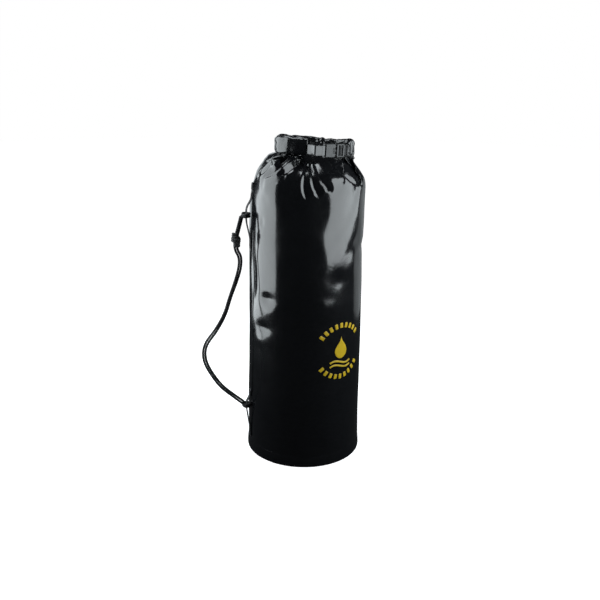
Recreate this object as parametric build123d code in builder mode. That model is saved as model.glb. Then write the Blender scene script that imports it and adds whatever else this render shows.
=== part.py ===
"""Roll-top dry bag, closed and standing: welded tube, rolled mouth, side-release buckle and carry cord.

Millimetres. +Z is up, +X is the wearer's right when the buckle (front, -Y) faces the viewer.
The origin is the centre of the base, on the face that the bag stands on.
"""
import os
from math import cos, degrees, pi, radians, sin, tan

from build123d import *

# Driving dimensions of the bag
BASE_RADIUS = 122.5
SHOULDER_RADIUS = 117.0
SHOULDER_HEIGHT = 565.0
NECK_RADIUS = 86.0
NECK_HEIGHT = 632.0
FABRIC = 2.0
BASE_BAND_HEIGHT = 24.0
BASE_BAND_THICKNESS = 1.8

# Rolled mouth: a C of rolled fabric, open at the front right
ROLL_CENTRE = (15.0, 0.0, 661.0)
ROLL_TILT = 2.5
ROLL_RADIUS = 70.0
ROLL_WIDTH = 22.0
ROLL_HEIGHT = 40.0
ROLL_START = 62.0
ROLL_ARC = 285.0
GATHER_THICKNESS = 2.5
STIFFENER_HEIGHT = 24.0
STIFFENER_THICKNESS = 1.4

# Side-release buckle for 20 mm webbing
BUCKLE_AZIMUTH = 27.5
BUCKLE_RADIUS = 73.0
BUCKLE_WIDTH = 26.0
SOCKET_START = -23.0
SOCKET_END = 4.0
SOCKET_THICKNESS = 10.0
CAVITY_START = -12.0
CAVITY_HEIGHT = 5.8
PLUG_START = 7.0
PLUG_END = 25.0
PLUG_THICKNESS = 8.0
PRONG_PIVOT = (5.2, 7.8)
PRONG_THICKNESS = 4.6
WEBBING_WIDTH = 20.0
WEBBING_THICKNESS = 1.5

# Carry cord and the two webbing loops that hold it
SIDE_AZIMUTH = 20.0
CORD_DIAMETER = 5.0
LOOP_WIDTH = 9.0
LOOP_THICKNESS = 1.6
HITCH_RADIUS = 7.4
UPPER_HITCH = (129.0, 526.0)
LOWER_HITCH = (131.4, 108.0)
KNOT_CENTRE = (151.5, 476.0)
KNOT_SIZE = (21.0, 30.0)

# Printed emblem
EMBLEM_AZIMUTH = 39.0
EMBLEM_HEIGHT = 255.0
EMBLEM_RADIUS = 62.0
PRINT_THICKNESS = 0.4

TOP = Plane(
    origin=ROLL_CENTRE,
    x_dir=(cos(radians(ROLL_TILT)), 0, -sin(radians(ROLL_TILT))),
    z_dir=(sin(radians(ROLL_TILT)), 0, cos(radians(ROLL_TILT))),
)


def side_plane(azimuth):
    """Upright plane through the bag's axis: x outward, y up, azimuth from the left to the front."""
    turn = radians(azimuth)
    return Plane(origin=(0, 0, 0), x_dir=(-cos(turn), -sin(turn), 0), z_dir=(-sin(turn), cos(turn), 0))


SIDE = side_plane(SIDE_AZIMUTH)

# Strand routes in the side plane: distance from the bag's axis, height, and sideways offset
OUTER_ROUTE = [
    (140.8, 524.4, -0.5),
    (147.6, 499.0, -0.5),
    (154.2, 477.0, 0.0),
    (153.4, 454.5, 0.6),
    (144.2, 439.5, 1.0),
    (145.3, 416.8, 0.8),
    (155.2, 386.0, -0.4),
    (167.2, 355.0, -1.2),
    (177.3, 321.3, -0.6),
    (197.8, 286.5, 0.6),
    (217.8, 263.6, 1.0),
    (225.3, 241.2, 0.6),
    (222.2, 215.3, 0.0),
    (208.7, 188.0, -0.5),
    (189.5, 157.3, -0.3),
    (162.9, 132.0, 0.4),
    (139.6, 110.6, 0.5),
]
INNER_ROUTE = [
    (136.7, 521.2, 1.0),
    (142.2, 497.0, 1.2),
    (148.9, 475.6, 0.6),
    (148.0, 455.9, -0.4),
    (138.7, 441.8, -0.8),
    (140.0, 415.9, -0.6),
    (150.1, 384.3, 0.6),
    (162.2, 352.8, 1.4),
    (172.6, 318.5, 0.8),
    (193.6, 283.0, -0.4),
    (213.2, 260.9, -0.8),
    (219.9, 241.2, -0.4),
    (217.1, 217.0, 0.2),
    (204.0, 190.6, 0.8),
    (185.3, 160.9, 0.6),
    (159.8, 136.5, -0.2),
    (138.0, 119.2, -0.4),
]


def bag_radius(height):
    """Outer radius of the welded tube below the shoulder."""
    return BASE_RADIUS + (SHOULDER_RADIUS - BASE_RADIUS) * height / SHOULDER_HEIGHT


def save(part, name):
    """Label one finished piece and write its STEP file."""
    part.label = name
    export_step(part, f"parts/{name}.step")


def top_plane(azimuth):
    """Upright plane through the roll's axis: x outward, y up, azimuth from the front to the right."""
    outward = TOP.x_dir * sin(radians(azimuth)) - TOP.y_dir * cos(radians(azimuth))
    return Plane(origin=TOP.origin, x_dir=outward, z_dir=outward.cross(TOP.z_dir))


def buckle_plane():
    """Plane of the buckle's face: x along the strap to the right, y up, z outward."""
    azimuth = radians(BUCKLE_AZIMUTH)
    outward = TOP.x_dir * sin(azimuth) - TOP.y_dir * cos(azimuth)
    along = TOP.x_dir * cos(azimuth) + TOP.y_dir * sin(azimuth)
    return Plane(origin=TOP.origin + outward * BUCKLE_RADIUS, x_dir=along, z_dir=outward)


BUCKLE = buckle_plane()
BUCKLE_NORMAL = Axis(BUCKLE.origin, BUCKLE.z_dir)
# The buckle in plan: x along the strap, y outward, z down
BUCKLE_PLAN = Plane(origin=BUCKLE.origin, x_dir=BUCKLE.x_dir, z_dir=-BUCKLE.y_dir)


def make_bag_tube():
    """Welded fabric tube with its gathered shoulder, open at the neck and at the base."""
    outer = [(BASE_RADIUS, 0), (SHOULDER_RADIUS, SHOULDER_HEIGHT), (109.5, 603), (NECK_RADIUS, NECK_HEIGHT)]
    inner = [(radius - FABRIC, height) for radius, height in outer]
    with BuildPart() as tube:
        with BuildSketch(Plane.XZ):
            with BuildLine():
                Polyline(inner[1], inner[0], outer[0], outer[1])
                ThreePointArc(*outer[1:])
                Line(outer[3], inner[3])
                ThreePointArc(*inner[:0:-1])
            make_face()
        revolve(axis=Axis.Z)
    save(tube.part, "bag_tube")


def make_base():
    """Round base panel inside the tube, and the welded band round the foot of the tube."""
    with BuildPart() as disc:
        Cylinder(BASE_RADIUS - FABRIC - 0.2, FABRIC, align=(Align.CENTER, Align.CENTER, Align.MIN))
    save(disc.part, "base_disc")

    low = bag_radius(0)
    high = bag_radius(BASE_BAND_HEIGHT)
    with BuildPart() as band:
        with BuildSketch(Plane.XZ):
            with BuildLine():
                Polyline(
                    (low, 0),
                    (low + BASE_BAND_THICKNESS, 0),
                    (high + BASE_BAND_THICKNESS, BASE_BAND_HEIGHT),
                    (high, BASE_BAND_HEIGHT),
                    close=True,
                )
            make_face()
        revolve(axis=Axis.Z)
    save(band.part, "base_band")


def make_side_strip():
    """Welded tape over the tube's vertical seam, behind the carry cord."""
    bottom, top, thickness, width = 140.0, 560.0, 1.2, 26.0
    half_angle = degrees(width / 2 / SHOULDER_RADIUS)
    with BuildPart() as strip:
        with BuildSketch(side_plane(SIDE_AZIMUTH - half_angle)):
            with BuildLine():
                Polyline(
                    (bag_radius(bottom), bottom),
                    (bag_radius(bottom) + thickness, bottom),
                    (bag_radius(top) + thickness, top),
                    (bag_radius(top), top),
                    close=True,
                )
            make_face()
        revolve(axis=Axis.Z, revolution_arc=2 * half_angle)
    save(strip.part, "side_strip")


def make_webbing_loop(name, points):
    """Narrow webbing sewn to the bag at both ends and standing off it where the cord is hitched."""
    with BuildPart() as loop:
        with BuildSketch(SIDE):
            with BuildLine() as run:
                FilletPolyline(*points, radius=8)
            trace(run.line, line_width=LOOP_THICKNESS)
        extrude(amount=LOOP_WIDTH / 2, both=True)
    save(loop.part, name)


def side_point(reach, height, offset=0.0):
    """Point of the side plane in the bag's own frame."""
    return SIDE.from_local_coords((reach, height, offset))


def corner_radii(points):
    """Arc radius for each inner corner of a cord's route."""
    radii = []
    for before, corner, after in zip(points, points[1:], points[2:]):
        shorter = min((corner - before).length, (after - corner).length)
        turn = radians((corner - before).get_angle(after - corner))
        radii.append(0.45 * shorter / tan(turn / 2))
    return radii


def make_strand(name, route):
    """One strand of the doubled cord, from the upper hitch through the knot to the lower hitch."""
    points = [side_point(*place) for place in route]
    radii = corner_radii(points)
    with BuildPart() as strand:
        with BuildLine() as path:
            FilletPolyline(*points, radius=radii)
        with BuildSketch(Plane(origin=path.line @ 0, z_dir=path.line % 0)):
            Circle(CORD_DIAMETER / 2)
        sweep(path=path.line)
    length = path.wires()[0].length
    swept = pi * CORD_DIAMETER**2 / 4 * length
    print(name, "length", round(length, 1), "volume ratio", round(strand.part.volume / swept, 4))
    print(name, "radii", [round(radius, 1) for radius in radii])
    save(strand.part, name)


def hitch_axis():
    """Direction from the lower hitch to the upper one, which the cord swings about."""
    return (side_point(*UPPER_HITCH) - side_point(*LOWER_HITCH)).normalized()


def make_hitch(name, centre):
    """Turn of cord round a webbing loop."""
    ring = Plane(origin=side_point(*centre), x_dir=SIDE.x_dir, z_dir=hitch_axis())
    with BuildPart(ring) as hitch:
        Torus(HITCH_RADIUS, CORD_DIAMETER / 2)
    save(hitch.part, name)


def make_knot():
    """Outer shape of the overhand knot in the doubled cord."""
    knot_plane = Plane(origin=side_point(*KNOT_CENTRE), x_dir=SIDE.x_dir, z_dir=SIDE.z_dir)
    with BuildPart() as knot:
        with BuildSketch(knot_plane):
            Ellipse(KNOT_SIZE[0] / 2, KNOT_SIZE[1] / 2)
            Rectangle(KNOT_SIZE[0], KNOT_SIZE[1], align=(Align.MAX, Align.CENTER), mode=Mode.SUBTRACT)
        revolve(axis=Axis(knot_plane.origin, knot_plane.y_dir))
    save(knot.part, "cord_knot")


def make_emblem():
    """Raised print on the tube: two arcs of short bars round a water drop over two waves."""
    azimuth = radians(EMBLEM_AZIMUTH)
    outward = Vector(sin(azimuth), -cos(azimuth), 0)
    face = Plane(origin=outward * 60 + Vector(0, 0, EMBLEM_HEIGHT), x_dir=(cos(azimuth), sin(azimuth), 0),
                 z_dir=outward)
    low = EMBLEM_HEIGHT - 1.3 * EMBLEM_RADIUS
    high = EMBLEM_HEIGHT + 1.3 * EMBLEM_RADIUS
    bars = 9
    with BuildPart() as emblem:
        with BuildSketch(face):
            for middle in (90, 270):
                for bar in range(bars):
                    turn = middle + (bar - (bars - 1) / 2) * 13
                    with PolarLocations(EMBLEM_RADIUS - 6, 1, start_angle=turn):
                        RectangleRounded(11, 7, 1.5)
            with BuildLine():
                tip = (0, 32)
                Spline(tip, (11, 12), (15, -2), (0, -16), (-15, -2), (-11, 12), tip,
                       tangents=[(0.2, -1), (0.2, 1)])
            make_face()
            for level in (-24, -33):
                with BuildLine() as wave:
                    Spline((-26, level), (-13, level + 3.5), (0, level), (13, level - 3.5), (26, level))
                trace(wave.line, line_width=4)
        extrude(amount=80)
        with BuildSketch(Plane.XZ) as skin:
            with BuildLine():
                Polyline(
                    (bag_radius(low), low),
                    (bag_radius(low) + PRINT_THICKNESS, low),
                    (bag_radius(high) + PRINT_THICKNESS, high),
                    (bag_radius(high), high),
                    close=True,
                )
            make_face()
        revolve(axis=Axis.Z, mode=Mode.INTERSECT)
    save(emblem.part, "emblem_print")


def make_rolled_neck():
    """Mouth of the tube rolled down over its stiffener, and the fabric gathered under the roll."""
    half_stiffener = (STIFFENER_THICKNESS / 2, STIFFENER_HEIGHT / 2)
    axis = Axis(TOP.origin, TOP.z_dir)
    start = top_plane(ROLL_START)
    with BuildPart() as roll:
        with BuildSketch(start):
            with Locations((ROLL_RADIUS, 0)):
                RectangleRounded(ROLL_WIDTH, ROLL_HEIGHT, 8)
                Rectangle(2 * half_stiffener[0], 2 * half_stiffener[1], mode=Mode.SUBTRACT)
        revolve(axis=axis, revolution_arc=ROLL_ARC)
    save(roll.part, "rolled_neck")

    with BuildPart() as gather:
        with BuildSketch(TOP.offset(-ROLL_HEIGHT / 2 - 0.3)):
            with Locations((-ROLL_CENTRE[0], 0)):
                Circle(NECK_RADIUS + 2)
        extrude(amount=-GATHER_THICKNESS)
    save(gather.part, "gathered_mouth")

    with BuildPart() as stiffener:
        with BuildSketch(start):
            with Locations((ROLL_RADIUS, 0)):
                Rectangle(2 * half_stiffener[0], 2 * half_stiffener[1])
        revolve(axis=axis, revolution_arc=ROLL_ARC)
    save(stiffener.part, "mouth_stiffener")


def roll_end(azimuth, radius):
    """Place of a point of the roll in the buckle's plan: along the strap, and outward."""
    turn = radians(azimuth - BUCKLE_AZIMUTH)
    return radius * sin(turn), radius * cos(turn) - BUCKLE_RADIUS


def make_strap(name, points, width):
    """Flat strap through a buckle bar, drawn in plan and as wide as the webbing."""
    with BuildPart() as strap:
        with BuildSketch(BUCKLE_PLAN):
            with BuildLine() as run:
                FilletPolyline(*points, radius=0.9)
            trace(run.line, line_width=WEBBING_THICKNESS)
        extrude(amount=width / 2, both=True)
    save(strap.part, name)


def make_straps():
    """Fabric tongue from the roll's left end to the socket, and webbing from its right end to the plug."""
    left = roll_end(ROLL_START + ROLL_ARC - 360, ROLL_RADIUS)
    make_strap("closure_tongue", [
        (left[0] + 0.9, left[1] - 0.4),
        (-34.0, -10.6),
        (-24.6, -3.1),
        (-18.0, -3.1),
        (-18.0, 3.1),
        (-25.0, 3.1),
        (-36.0, -7.6),
        (left[0] - 0.4, left[1] + 2.6),
    ], WEBBING_WIDTH - 1)
    right = roll_end(ROLL_START, ROLL_RADIUS)
    make_strap("closure_webbing", [
        (right[0] - 1.0, right[1] + 0.8),
        (28.0, -6.6),
        (20.0, -5.2),
        (20.0, 3.2),
        (13.0, 3.2),
        (13.0, -5.3),
        (8.6, -5.5),
    ], WEBBING_WIDTH - 1)


def make_socket():
    """Female half of the buckle: strap bar, closed end, and a cavity open at the mouth and both sides."""
    with BuildPart() as socket:
        with BuildSketch(BUCKLE):
            with Locations(((SOCKET_START + SOCKET_END) / 2, 0)):
                RectangleRounded(SOCKET_END - SOCKET_START, BUCKLE_WIDTH, 3)
        extrude(amount=SOCKET_THICKNESS / 2, both=True)
        fillet(socket.faces().filter_by(BUCKLE_NORMAL).edges(), radius=1.6)
        with BuildSketch(BUCKLE_PLAN):
            with Locations(((CAVITY_START + SOCKET_END + 2) / 2, 0)):
                Rectangle(SOCKET_END + 2 - CAVITY_START, CAVITY_HEIGHT)
            for side in (1, -1):
                with Locations((-21.0, side * 3.9)):
                    Rectangle(9, 3.4)
        extrude(amount=BUCKLE_WIDTH, both=True, mode=Mode.SUBTRACT)
        with BuildSketch(BUCKLE):
            with Locations((-18.0, 0)):
                Rectangle(3.2, WEBBING_WIDTH + 1)
        extrude(amount=SOCKET_THICKNESS, both=True, mode=Mode.SUBTRACT)
    save(socket.part, "buckle_socket")


def make_plug():
    """Male half of the buckle: adjuster frame with two webbing slots, and the middle guide."""
    with BuildPart() as plug:
        with BuildSketch(BUCKLE):
            with Locations(((PLUG_START + PLUG_END) / 2, 0)):
                RectangleRounded(PLUG_END - PLUG_START, BUCKLE_WIDTH, 3)
        extrude(amount=PLUG_THICKNESS / 2, both=True)
        fillet(plug.faces().filter_by(BUCKLE_NORMAL).edges(), radius=1.4)
        with BuildSketch(BUCKLE_PLAN):
            with Locations((16.5, -PLUG_THICKNESS / 2), (16.5, PLUG_THICKNESS / 2)):
                Rectangle(9.6, 3.6)
        extrude(amount=WEBBING_WIDTH / 2 + 0.5, both=True, mode=Mode.SUBTRACT)
        with BuildSketch(BUCKLE):
            with Locations((13.0, 0), (20.0, 0)):
                Rectangle(3.2, WEBBING_WIDTH + 1)
        extrude(amount=PLUG_THICKNESS, both=True, mode=Mode.SUBTRACT)
        with BuildSketch(BUCKLE):
            with Locations((-1.5, 0)):
                Rectangle(19, 4)
        extrude(amount=2, both=True)
    save(plug.part, "buckle_plug")


def make_prong(name, side):
    """Springy prong with the barbed head that shows as a button at the socket's side."""
    outline = [(5.2, 6.6), (5.2, 9.0), (0.5, 9.4), (-1.0, 13.6), (-5.5, 13.2), (-10.6, 9.6), (-10.6, 7.4)]
    with BuildPart() as prong:
        with BuildSketch(BUCKLE):
            with BuildLine():
                Polyline(*[(along, side * across) for along, across in outline], close=True)
            make_face()
            with Locations((PRONG_PIVOT[0], side * PRONG_PIVOT[1])):
                Circle(1.2)
        extrude(amount=PRONG_THICKNESS / 2, both=True)
    save(prong.part, name)


def main():
    """Build every piece and write one STEP file for each."""
    os.makedirs("parts", exist_ok=True)
    make_bag_tube()
    make_base()
    make_side_strip()
    make_emblem()
    make_webbing_loop("upper_webbing_loop", [
        (bag_radius(582) + 2.1, 582),
        (bag_radius(566) + 2.1, 566),
        (UPPER_HITCH[0], 541),
        (UPPER_HITCH[0] + 0.1, 511),
        (bag_radius(478) + 2.3, 478),
        (bag_radius(462) + 2.2, 462),
    ])
    make_webbing_loop("lower_webbing_loop", [
        (bag_radius(136) + 0.95, 136),
        (bag_radius(128) + 1.0, 128),
        (LOWER_HITCH[0], 118),
        (LOWER_HITCH[0] + 0.05, 97),
        (bag_radius(56) + 1.2, 56),
        (bag_radius(36) + 1.1, 36),
    ])
    make_hitch("upper_hitch", UPPER_HITCH)
    make_hitch("lower_hitch", LOWER_HITCH)
    make_strand("cord_strand_outer", OUTER_ROUTE)
    make_strand("cord_strand_inner", INNER_ROUTE)
    make_knot()
    make_rolled_neck()
    make_straps()
    make_socket()
    make_plug()
    make_prong("upper_prong", 1)
    make_prong("lower_prong", -1)
    pivots = [BUCKLE.from_local_coords((PRONG_PIVOT[0], side * PRONG_PIVOT[1], 0)) for side in (1, -1)]
    print("buckle axis", BUCKLE.x_dir, "outward", BUCKLE.z_dir, "pivots", pivots)
    print("hitch axis", hitch_axis(), "through", side_point(*LOWER_HITCH))


main()
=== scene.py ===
"""A glossy roll-top dry bag dressed over its CAD frame.

Each sub-assembly is a class that builds its meshes, gives them a finish and ties them to a CAD body.
All sizes are in metres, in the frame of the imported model.
"""
import logging
import math
from dataclasses import dataclass, field
from enum import Enum
from typing import Callable, Iterable

import bmesh
import bpy
import numpy as np
from mathutils import Matrix, Vector, noise
from mathutils.bvhtree import BVHTree


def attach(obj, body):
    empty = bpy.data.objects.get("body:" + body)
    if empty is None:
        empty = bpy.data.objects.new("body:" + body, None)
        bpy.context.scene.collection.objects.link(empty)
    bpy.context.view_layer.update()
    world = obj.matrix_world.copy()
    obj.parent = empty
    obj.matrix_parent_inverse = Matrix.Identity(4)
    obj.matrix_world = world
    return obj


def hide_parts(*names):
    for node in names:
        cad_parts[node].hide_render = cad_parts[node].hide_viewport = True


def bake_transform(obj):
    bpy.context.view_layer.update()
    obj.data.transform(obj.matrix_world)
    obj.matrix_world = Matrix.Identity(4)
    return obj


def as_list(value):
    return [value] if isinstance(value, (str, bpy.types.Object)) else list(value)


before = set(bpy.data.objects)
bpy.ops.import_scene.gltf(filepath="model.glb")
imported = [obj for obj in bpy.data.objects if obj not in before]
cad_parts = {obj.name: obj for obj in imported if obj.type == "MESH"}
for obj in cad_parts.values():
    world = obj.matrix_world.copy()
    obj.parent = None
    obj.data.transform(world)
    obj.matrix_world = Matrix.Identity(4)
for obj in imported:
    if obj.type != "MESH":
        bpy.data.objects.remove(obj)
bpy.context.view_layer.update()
log = logging.getLogger("dry_bag")

MM = 0.001
STRIPE_SCALE = 6.2


class Body(Enum):
    """CAD bodies that the pieces ride on."""

    BAG = "bag"
    ROLL = "roll_top"
    PLUG = "plug"
    UPPER_PRONG = "upper_prong"
    LOWER_PRONG = "lower_prong"
    CORD = "carry_cord"


# ---------------------------------------------------------------- shared geometry


@dataclass(frozen=True)
class TopFrame:
    """Tilted frame of the rolled mouth, as the CAD model places it."""

    centre: Vector = Vector((0.015, 0.0, 0.661))
    tilt: float = math.radians(2.5)
    buckle_azimuth: float = math.radians(27.5)
    buckle_radius: float = 0.073

    @property
    def matrix(self) -> Matrix:
        """Frame with its origin on the roll's axis and z along it."""
        return Matrix.Translation(self.centre) @ Matrix.Rotation(self.tilt, 4, "Y")

    def point(self, azimuth: float, radius: float, height: float) -> Vector:
        """Point at an azimuth from the front towards the right.

        Args:
            azimuth: angle in radians.
            radius: distance from the roll's axis.
            height: distance above the roll's middle.

        Returns:
            The point in the model's frame.
        """
        return self.matrix @ around(azimuth, radius, height)

    @property
    def buckle(self) -> Matrix:
        """Buckle frame: x along the strap to the right, y up, z outward."""
        turn = self.buckle_azimuth
        outward = around(turn, 1, 0)
        along = Vector((math.cos(turn), math.sin(turn), 0))
        local = Matrix((along, Vector((0, 0, 1)), outward)).transposed().to_4x4()
        local.translation = outward * self.buckle_radius
        return self.matrix @ local


TOP = TopFrame()
SIDE_AZIMUTH = math.radians(20)
SEAM_AZIMUTH = math.radians(-70)
FOOT_RADIUS = 0.1225
NARROWING = 0.0055
TUBE_HEIGHT = 0.565
ROLL_HALF_DEPTH = 0.0650
ROLL_SQUARENESS = 3.6
ROLL_TWIST = math.radians(20)
FABRIC_GIRTH = 0.74


def around(azimuth: float, radius: float, height: float) -> Vector:
    """Point at an azimuth from the front towards the right, a radius from the axis and a height."""
    return Vector((radius * math.sin(azimuth), -radius * math.cos(azimuth), height))


def azimuth_of(place: Vector) -> float:
    """Azimuth of a point, in radians from the front towards the right."""
    return math.atan2(place.x, -place.y)


def side_point(reach: float, height: float, offset: float = 0.0) -> Vector:
    """Point of the upright plane that holds the carry cord.

    Args:
        reach: distance from the bag's axis, in millimetres.
        height: height above the floor, in millimetres.
        offset: distance from the plane towards the back, in millimetres.

    Returns:
        The point in the model's frame, in metres.
    """
    cosine, sine = math.cos(SIDE_AZIMUTH), math.sin(SIDE_AZIMUTH)
    return Vector((-cosine * reach - sine * offset, -sine * reach + cosine * offset, height)) * MM


def bag_radius(height: float) -> float:
    """Radius of the bag's tube, which narrows a little from the foot to the shoulder."""
    return FOOT_RADIUS - NARROWING * height / TUBE_HEIGHT


def along_turn(azimuth: float, knots: Iterable[tuple[float, float]]) -> float:
    """Value that changes smoothly round the roll.

    Args:
        azimuth: angle from the front towards the right, in radians.
        knots: degrees from the roll's right end onwards, and the value there.

    Returns:
        The value at the azimuth.
    """
    degrees = math.degrees(azimuth) % 360
    before = None
    for place, value in knots:
        if degrees <= place:
            if before is None:
                return value
            return before[1] + (value - before[1]) * smooth((degrees - before[0]) / (place - before[0]))
        before = (place, value)
    return before[1]


def roll_reach(azimuth: float) -> float:
    """Distance of the roll's middle from its axis: a C with four flattened sides."""
    turn, power = azimuth + ROLL_TWIST, ROLL_SQUARENESS
    return ROLL_HALF_DEPTH * (abs(math.cos(turn)) ** power + abs(math.sin(turn)) ** power) ** (-1 / power)


def smooth(value: float) -> float:
    """Smooth step from 0 to 1."""
    value = min(1.0, max(0.0, value))
    return value * value * (3 - 2 * value)


# ---------------------------------------------------------------- mesh helpers


def mesh_object(name: str, bm: bmesh.types.BMesh, shade_smooth: bool = True) -> bpy.types.Object:
    """Turn a bmesh into a linked object.

    Args:
        name: name of the piece.
        bm: the mesh, which is freed.
        shade_smooth: smooth shading on all faces.

    Returns:
        The new object, at the origin.
    """
    mesh = bpy.data.meshes.new(name)
    bm.to_mesh(mesh)
    bm.free()
    for polygon in mesh.polygons:
        polygon.use_smooth = shade_smooth
    piece = bpy.data.objects.new(name, mesh)
    bpy.context.scene.collection.objects.link(piece)
    return piece


def surface(
    columns: int,
    rows: int,
    place: Callable[[float, float], Vector],
    closed: bool = False,
    scale: tuple[float, float] = (1.0, 1.0),
) -> bmesh.types.BMesh:
    """Bend a grid into a surface, with a UV map in metres named cloth.

    Args:
        columns: faces across.
        rows: faces up.
        place: gives a point for u and v, both from 0 to 1.
        closed: merge the first and last columns.
        scale: length of the sheet across and up, for the UV map.

    Returns:
        The bent mesh.
    """
    bm = bmesh.new()
    bmesh.ops.create_grid(bm, x_segments=columns, y_segments=rows, size=0.5)
    uv = bm.loops.layers.uv.new("cloth")
    for face in bm.faces:
        for loop in face.loops:
            loop[uv].uv = ((loop.vert.co.x + 0.5) * scale[0], (loop.vert.co.y + 0.5) * scale[1])
    for vert in bm.verts:
        vert.co = place(vert.co.x + 0.5, vert.co.y + 0.5)
    if closed:
        bmesh.ops.remove_doubles(bm, verts=bm.verts, dist=1e-6)
    return bm


def even(points: list[Vector], step: float) -> list[Vector]:
    """Points at an even distance along a line.

    Args:
        points: the line.
        step: distance between the new points.

    Returns:
        The new points, from the line's start to its end.
    """
    places = np.array([tuple(point) for point in points])
    lengths = np.linalg.norm(np.diff(places, axis=0), axis=1)
    travelled = np.concatenate(([0.0], np.cumsum(lengths)))
    count = max(2, round(travelled[-1] / step))
    marks = np.linspace(0, travelled[-1], count + 1)
    return [Vector(place) for place in
            np.stack([np.interp(marks, travelled, places[:, axis]) for axis in range(3)], axis=1)]


def bend(points: list[Vector], rounds: int, step: float) -> list[Vector]:
    """Soften a strap's path.

    Args:
        points: corners of the path.
        rounds: how many times the corners are cut.
        step: distance between the new points.

    Returns:
        The softened path.
    """
    for _ in range(rounds):
        cut = [points[0]]
        for before, after in zip(points, points[1:]):
            cut += [before.lerp(after, 0.25), before.lerp(after, 0.75)]
        points = cut + [points[-1]]
    return even(points, step)


def nurbs_points(corners: list[Vector]) -> list[Vector]:
    """Points along the smooth line that a cord follows.

    Args:
        corners: control points of the line.

    Returns:
        Points close together along it.
    """
    data = bpy.data.curves.new("line", "CURVE")
    data.dimensions = "3D"
    spline = data.splines.new("NURBS")
    spline.points.add(len(corners) - 1)
    for control, corner in zip(spline.points, corners):
        control.co = (*corner, 1)
    spline.order_u = 3
    spline.use_endpoint_u = True
    spline.resolution_u = 20
    line = bpy.data.objects.new("line", data)
    bpy.context.scene.collection.objects.link(line)
    shape = bpy.data.meshes.new_from_object(line.evaluated_get(bpy.context.evaluated_depsgraph_get()))
    points = [vert.co.copy() for vert in shape.vertices]
    bpy.data.objects.remove(line)
    bpy.data.meshes.remove(shape)
    return points


def add_braid(bm: bmesh.types.BMesh, line: list[Vector], radius: float, sides: int = 20, step: float = 0.0007,
              plait: float = 0.0085, carriers: int = 4) -> None:
    """Add a braided cord along a line to a mesh.

    Args:
        bm: mesh that takes the cord.
        line: points along the cord.
        radius: half of the cord's diameter.
        sides: faces round the cord.
        step: length of a face.
        plait: length in which a yarn goes once round the cord.
        carriers: yarns in each direction.
    """
    uv = bm.loops.layers.uv.get("cloth") or bm.loops.layers.uv.new("cloth")
    points = even(line, step)
    side, rings = None, []
    for index, point in enumerate(points):
        along = (points[min(index + 1, len(points) - 1)] - points[max(index - 1, 0)]).normalized()
        if side is None:
            side = along.orthogonal().normalized()
        side = (side - along * side.dot(along)).normalized()
        across = along.cross(side)
        twist = 2 * math.pi * index * step / plait
        ring = []
        for corner in range(sides):
            turn = 2 * math.pi * corner / sides
            yarn = max(math.cos(carriers * (turn + twist)), math.cos(carriers * (turn - twist)))
            reach = radius * (0.955 + 0.045 * yarn)
            ring.append(bm.verts.new(point + reach * (side * math.cos(turn) + across * math.sin(turn))))
        rings.append(ring)
    wide = 2 * math.pi * radius / sides
    for index, (ring, after) in enumerate(zip(rings, rings[1:])):
        for corner in range(sides):
            following = (corner + 1) % sides
            face = bm.faces.new((ring[corner], ring[following], after[following], after[corner]))
            corners = ((corner, index), (corner + 1, index), (corner + 1, index + 1), (corner, index + 1))
            for loop, (round_step, long_step) in zip(face.loops, corners):
                loop[uv].uv = (round_step * wide, long_step * step)
    bm.faces.new(list(reversed(rings[0])))
    bm.faces.new(rings[-1])


def braid_along(line: list[Vector], radius: float) -> bmesh.types.BMesh:
    """Braided cord along a line, as its own mesh."""
    bm = bmesh.new()
    add_braid(bm, line, radius)
    return bm


def thicken(piece: bpy.types.Object, thickness: float, side: float, edge: float) -> None:
    """Give a sheet its thickness and soften its edges.

    Args:
        piece: the sheet.
        thickness: thickness of the sheet.
        side: 1 adds it outwards, 0 to both sides.
        edge: width of the softened edges, or 0.
    """
    wall = piece.modifiers.new("wall", "SOLIDIFY")
    wall.thickness = thickness
    wall.offset = side
    if edge:
        soften = piece.modifiers.new("edges", "BEVEL")
        soften.width = edge
        soften.segments = 2
        soften.limit_method = "ANGLE"
        soften.angle_limit = math.radians(50)


def ribbon(name: str, path: list[Vector], across: Vector, width: float, thickness: float) -> bpy.types.Object:
    """Flat strap along a path.

    Args:
        name: name of the piece.
        path: middle of the strap, in even steps.
        across: direction of the strap's width.
        width: width of the strap.
        thickness: thickness of the strap.

    Returns:
        The strap.
    """
    total = sum((after - before).length for before, after in zip(path, path[1:]))

    def place(over: float, up: float) -> Vector:
        """Point of the strap's middle."""
        index = round(up * (len(path) - 1))
        wobble = 0.0003 * noise.noise(Vector((over * 2, up * total * 90, width * 500)))
        lean = (path[min(index + 1, len(path) - 1)] - path[max(index - 1, 0)]).normalized().cross(across)
        return path[index] + across * (over - 0.5) * width + lean * wobble

    piece = mesh_object(name, surface(10, len(path) - 1, place, False, (width, total)))
    thicken(piece, thickness, 0.0, 0.00035)
    return piece


def add_stitch(bm: bmesh.types.BMesh, centre: Vector, along: Vector, outward: Vector, length: float,
               radius: float) -> None:
    """Add one stitch of thread, lying on a face.

    Args:
        bm: mesh that takes the stitch.
        centre: middle of the stitch.
        along: direction of the thread.
        outward: direction away from the face.
        length: length of the stitch.
        radius: half of the thread's thickness.
    """
    axis = along.normalized()
    side = outward.cross(axis).normalized()
    turn = Matrix((side, axis.cross(side), axis)).transposed().to_4x4()
    shape = Matrix.Diagonal((radius, radius, length / 2, 1))
    bmesh.ops.create_uvsphere(bm, u_segments=6, v_segments=5, radius=1,
                              matrix=Matrix.Translation(centre) @ turn @ shape)


def dress(piece: bpy.types.Object, material: bpy.types.Material) -> None:
    """Give a piece its material."""
    piece.data.materials.clear()
    piece.data.materials.append(material)


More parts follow.
